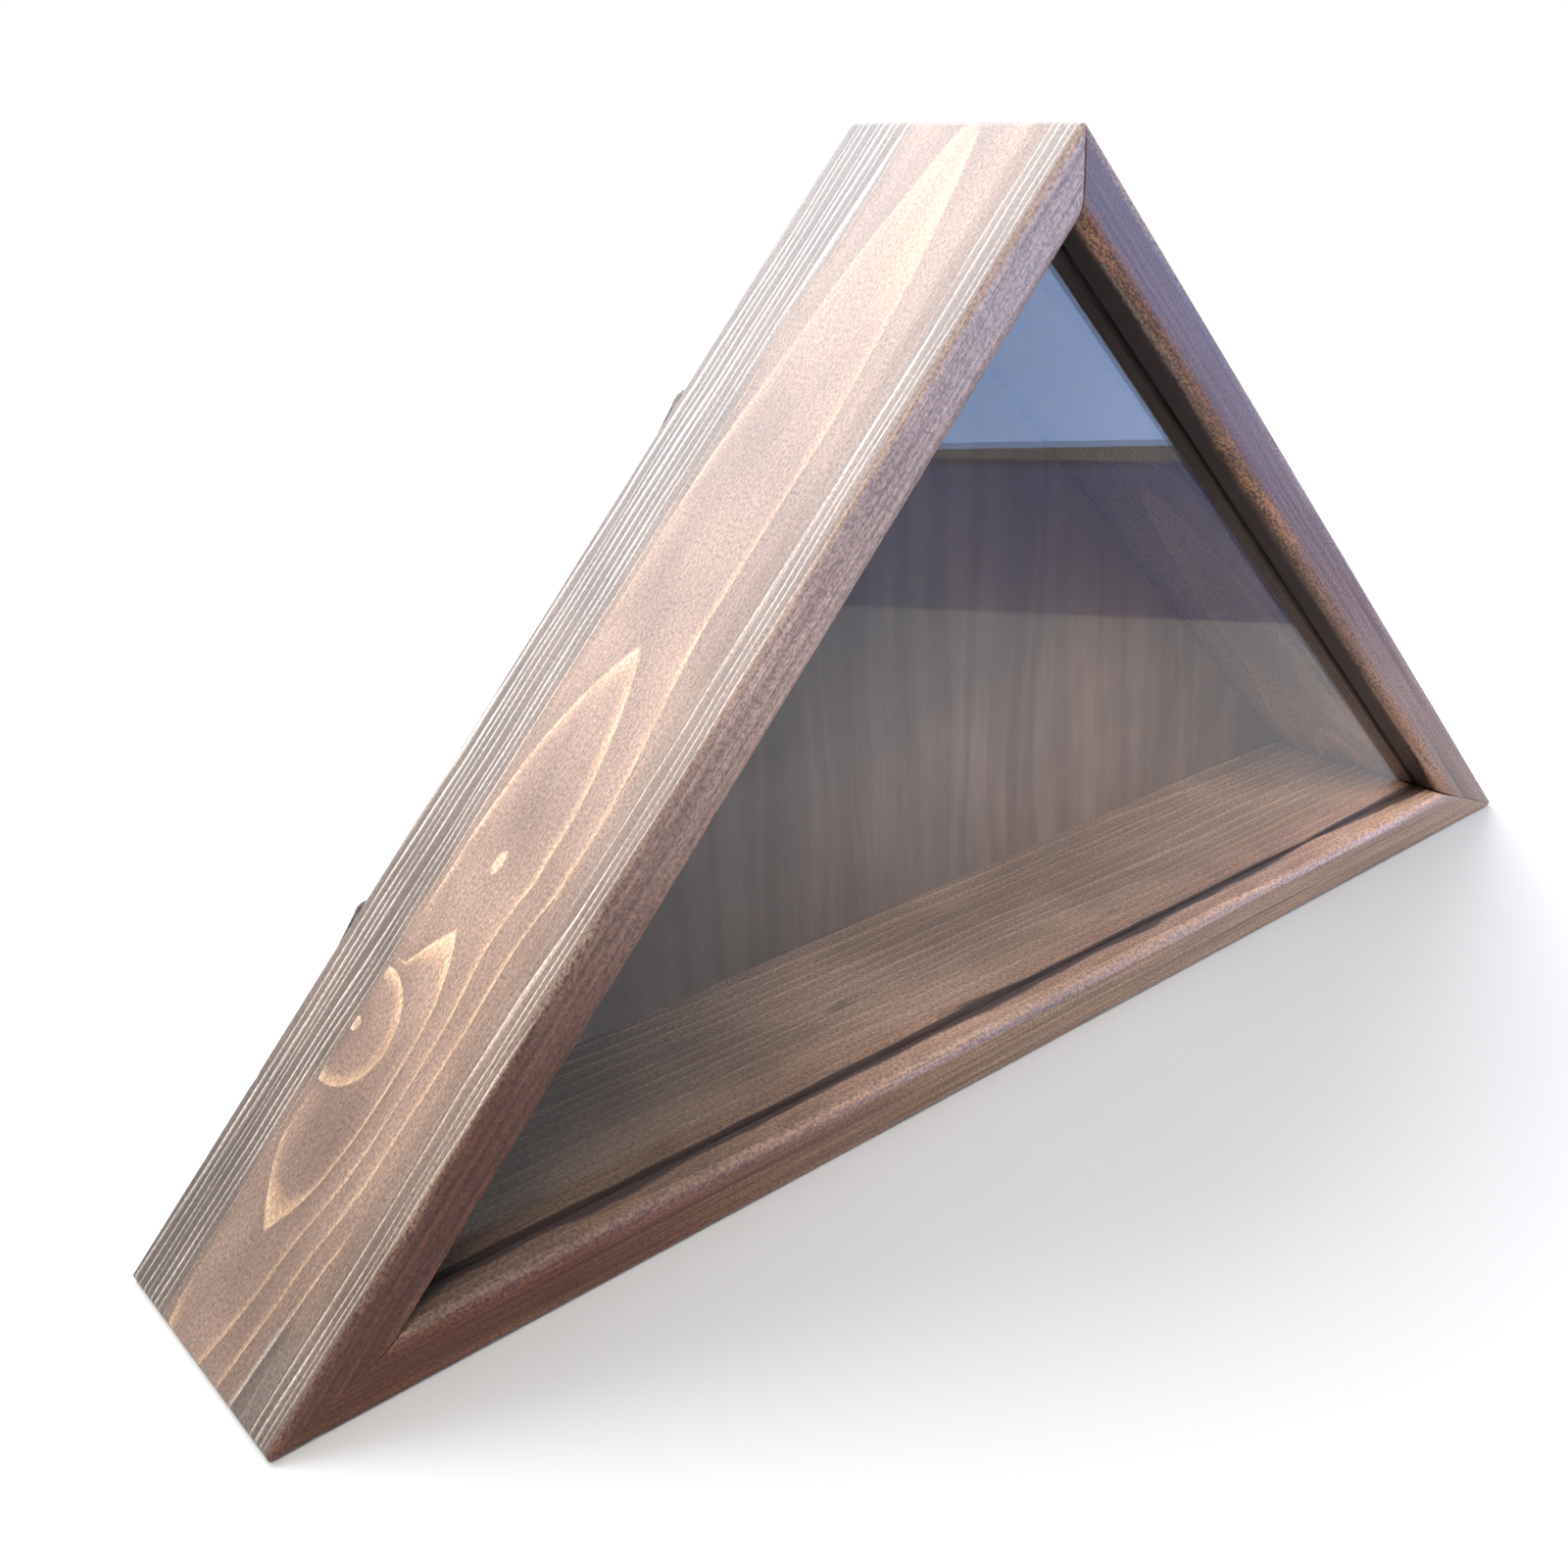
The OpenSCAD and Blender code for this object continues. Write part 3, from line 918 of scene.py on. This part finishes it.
def make_button(node, pivot):
    """A stamped turn button: rounded rim, a bored eye and an arm that thins to its end."""
    low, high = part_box(node)
    centre = (low + high) / 2
    arm = Vector((centre.x - pivot.x, 0, centre.z - pivot.z)).normalized()
    side = Vector((-arm.z, 0, arm.x))
    thick, rim = high.y - low.y, BUTTON_RIM
    edge = button_outline(12)
    eye = [point.normalized() * BUTTON_HOLE_R for point in edge]
    loops = ((eye, 0, 0), (edge, rim * 0.4, 0), (edge, 0, rim * 0.4), (edge, 0, thick - rim),
             (edge, rim * 0.3, thick - rim * 0.3), (edge, rim, thick), (eye, 0, thick))
    verts = []
    for outline, inset, height in loops:
        for point in outline:
            flat = drawn_in(point, inset)
            thinned = 1 - THINNING * clamp(flat.x / BUTTON_REACH - THINNING_FROM)
            level = low.y + height * thinned
            verts.append(Vector((pivot.x, level, pivot.z)) + arm * flat.x + side * flat.y)
    mesh = bpy.data.meshes.new(node + "_metal")
    mesh.from_pydata(verts, [], quads_between(len(loops), len(edge), loop=True))
    return finish_piece(node + "_metal", mesh, smooth_angle=40)


def make_buttons(material):
    """One button on each hinge, whose body is named after it."""
    for joint in frame["joints"]:
        if joint["type"] == "hinge":
            node = "turn_" + joint["child"]
            piece = make_button(node, Vector(joint["pos_m"]))
            dress(piece, joint["child"], node, material)


# ---------------------------------------------------------------- stage, light and camera

FLOOR_HALF, FLOOR_TILES = 5.0, 40
FLOOR_DROP = 0.05 * MM

SWEEP_FLAT, SWEEP_CURVE, SWEEP_HEIGHT = 3.0, 1.5, 7.0
SWEEP_RINGS, SWEEP_BENDS, SWEEP_AROUND = 6, 8, 64
SWEEP_LIFT = 0.2 * MM

# The felt lies in front of the case, seen from its middle: how near, which way and how large
FELT_NEAR, FELT_HEADING = 0.544, math.radians(125.5)
FELT_WIDTH, FELT_DEPTH = 1.2, 0.47
FELT_TILES = 6
FELT_LIFT = 2 * MM

WINDOW_LIGHT = (0.88, 0.93, 1.0)
WARM_LIGHT = (1.0, 0.92, 0.82)
BLUE_LIGHT = (0.42, 0.58, 1.0)
DEEP_BLUE_LIGHT = (0.26, 0.5, 1.0)
COOL_LIGHT = (0.9, 0.95, 1.0)
SKY_COLOUR = (0.97, 0.98, 1.0, 1.0)

# The photograph's viewpoint: where the camera stands, which way it looks, and its lens
CAMERA_PLACE = (-0.399, -0.4035, 0.334)
CAMERA_HEADING = math.radians(39.3)
CAMERA_TILT = math.radians(27.5)
CAMERA_ROLL = math.radians(-2.3)
CAMERA_SENSOR, CAMERA_LENS = 36, 37.2
CAMERA_SHIFT = (-0.0244, 0.08)
CAMERA_CLIP = 20 * MM


def stage_piece(name, verts, faces, material, height, unseen_by=()):
    """A piece of the studio at a height, which some kinds of ray pass by."""
    mesh = bpy.data.meshes.new(name)
    mesh.from_pydata(verts, [], faces)
    mesh.materials.append(material)
    piece = add_object(name, mesh)
    piece.location.z = height
    for ray in unseen_by:
        setattr(piece, "visible_" + ray, False)


def make_floor():
    """A square floor under the case, just below its underside."""
    count = FLOOR_TILES
    marks = [FLOOR_HALF * (2 * i / count - 1) for i in range(count + 1)]
    verts = [(x, y, 0) for y in marks for x in marks]
    faces = quads_between(count + 1, count + 1, ring=False)
    stage_piece("floor", verts, faces, pale_floor(), -FLOOR_DROP)


def make_backdrop():
    """A round paper sweep seen by the camera only: flat near the case, then up like a bowl."""
    profile = [(SWEEP_FLAT * i / SWEEP_RINGS, 0.0) for i in range(1, SWEEP_RINGS + 1)]
    for i in range(1, SWEEP_BENDS + 1):
        angle = math.radians(90 * i / SWEEP_BENDS)
        profile.append((SWEEP_FLAT + SWEEP_CURVE * math.sin(angle),
                        SWEEP_CURVE * (1 - math.cos(angle))))
    profile.append((SWEEP_FLAT + SWEEP_CURVE, SWEEP_HEIGHT))
    verts = []
    for radius, z in profile:
        for i in range(SWEEP_AROUND):
            angle = 2 * math.pi * i / SWEEP_AROUND
            verts.append((radius * math.cos(angle), radius * math.sin(angle), z))
    faces = quads_between(len(profile), SWEEP_AROUND)
    stage_piece("backdrop", verts, faces, backdrop_paper(), SWEEP_LIFT,
                unseen_by=("diffuse", "glossy", "shadow"))


def make_felt():
    """Dark felt on the floor in front, seen only as a reflection: it darkens the glass."""
    ahead = Vector((math.sin(FELT_HEADING), math.cos(FELT_HEADING), 0))
    side = Vector((ahead.y, -ahead.x, 0))
    verts = []
    for i in range(FELT_TILES + 1):
        for j in range(FELT_TILES + 1):
            sideways = FELT_WIDTH * (i / FELT_TILES - 0.5)
            verts.append(ahead * (FELT_NEAR + FELT_DEPTH * j / FELT_TILES) + side * sideways)
    faces = quads_between(FELT_TILES + 1, FELT_TILES + 1, ring=False)
    stage_piece("dark_flag", verts, faces, blue_felt(), FELT_LIFT,
                unseen_by=("camera", "diffuse", "transmission", "shadow"))


def area_light(name, place, target, size, power, colour, gloss_only=False):
    """A lamp that the camera doesn't see. It can be left to shine in reflections only."""
    light = bpy.data.lights.new(name, "AREA")
    light.shape = "RECTANGLE"
    light.size, light.size_y = size
    light.energy = power
    light.color = colour
    lamp = add_object(name, light)
    lamp.location = place
    aim = Vector(target) - Vector(place)
    lamp.rotation_euler = aim.to_track_quat("-Z", "Y").to_euler()
    lamp.visible_camera = False
    lamp.visible_diffuse = not gloss_only


def soft_sky():
    """A studio dome: bright above and behind the case, dimmer in front of it."""
    world = bpy.data.worlds.new("studio")
    bpy.context.scene.world = world
    world.use_nodes = True
    tree = world.node_tree
    split = tree.nodes.new("ShaderNodeSeparateXYZ")
    tree.links.new(tree.nodes.new("ShaderNodeTexCoord").outputs["Generated"], split.inputs[0])
    y, z = Value(tree, split.outputs[1]), Value(tree, split.outputs[2])
    strength = (y * 0.6 + z * 0.8).ramp(-0.35, 0.65, 0.4, 1.1)
    sky = tree.nodes["Background"]
    sky.inputs["Color"].default_value = SKY_COLOUR
    tree.links.new(strength.socket, sky.inputs["Strength"])


def make_lights():
    """A large window behind, a warm fill on the left, a cool card that the glass reflects, and
    a strip that glints on the right board. The card's second lamp stands a little nearer."""
    area_light("window", (0.0, 2.6, 2.7), (0, 0.6, 0), (4.5, 3.0), 265, WINDOW_LIGHT)
    area_light("room_fill", (-0.75, -1.0, 1.6), (0, 0, CASE_H * 0.45), (0.8, 0.8), 26, WARM_LIGHT)
    card_place, card_target, card_size = Vector((0.73, -0.71, 0.34)), (0, 0, 0.34), (1.0, 0.64)
    area_light("cool_card", card_place, card_target, card_size, 6.0, BLUE_LIGHT)
    area_light("cool_shine", card_place * 0.99, card_target, card_size, 6.2, DEEP_BLUE_LIGHT,
               gloss_only=True)
    area_light("edge_strip", (1.3, -0.3, 1.5), (0, -0.05, 0), (0.5, 0.2), 7, COOL_LIGHT,
               gloss_only=True)
    soft_sky()


def make_camera():
    """The photograph's viewpoint. The lens shift stands for where the photo was cropped."""
    data = bpy.data.cameras.new("camera")
    data.sensor_width = CAMERA_SENSOR
    data.lens = CAMERA_LENS
    data.shift_x, data.shift_y = CAMERA_SHIFT
    data.clip_start = CAMERA_CLIP
    camera = add_object("camera", data)
    ahead = Vector((math.sin(CAMERA_HEADING) * math.cos(CAMERA_TILT),
                    math.cos(CAMERA_HEADING) * math.cos(CAMERA_TILT),
                    -math.sin(CAMERA_TILT)))
    turn = ahead.to_track_quat("-Z", "Y").to_matrix() @ Matrix.Rotation(CAMERA_ROLL, 3, "Z")
    camera.matrix_world = Matrix.Translation(CAMERA_PLACE) @ turn.to_4x4()
    bpy.context.scene.camera = camera


make_camera()
make_floor()
make_backdrop()
make_felt()
make_lights()
bpy.context.scene.view_settings.view_transform = "Standard"

pine = stained_pine()
plywood = stained_plywood()
glass = clear_glass()
bronze = metal("bronzed_metal", (0.02, 0.015, 0.012), (0.055, 0.04, 0.03), 0.46)
black_steel = metal("blackened_steel", (0.03, 0.028, 0.027), (0.08, 0.075, 0.07), 0.36)
zinc = metal("zinc_steel", (0.35, 0.35, 0.34), (0.52, 0.52, 0.5), 0.34)
bright_steel = metal("bright_steel", (0.5, 0.5, 0.49), (0.66, 0.66, 0.65), 0.28)

make_boards(pine)
make_buttons(bronze)
dress_node("glass_pane", glass, bevel=0.3 * MM)
dress_node("back_panel", plywood, bevel=0.4 * MM)
for node in frame["nodes"]:
    if node.startswith("button_screw"):
        dress_node(node, black_steel, bevel=0.1 * MM)
    elif node.startswith("button_washer"):
        dress_node(node, zinc, bevel=0.12 * MM)
    elif node.startswith("corner_brads"):
        dress_node(node, bright_steel, bevel=0.1 * MM)
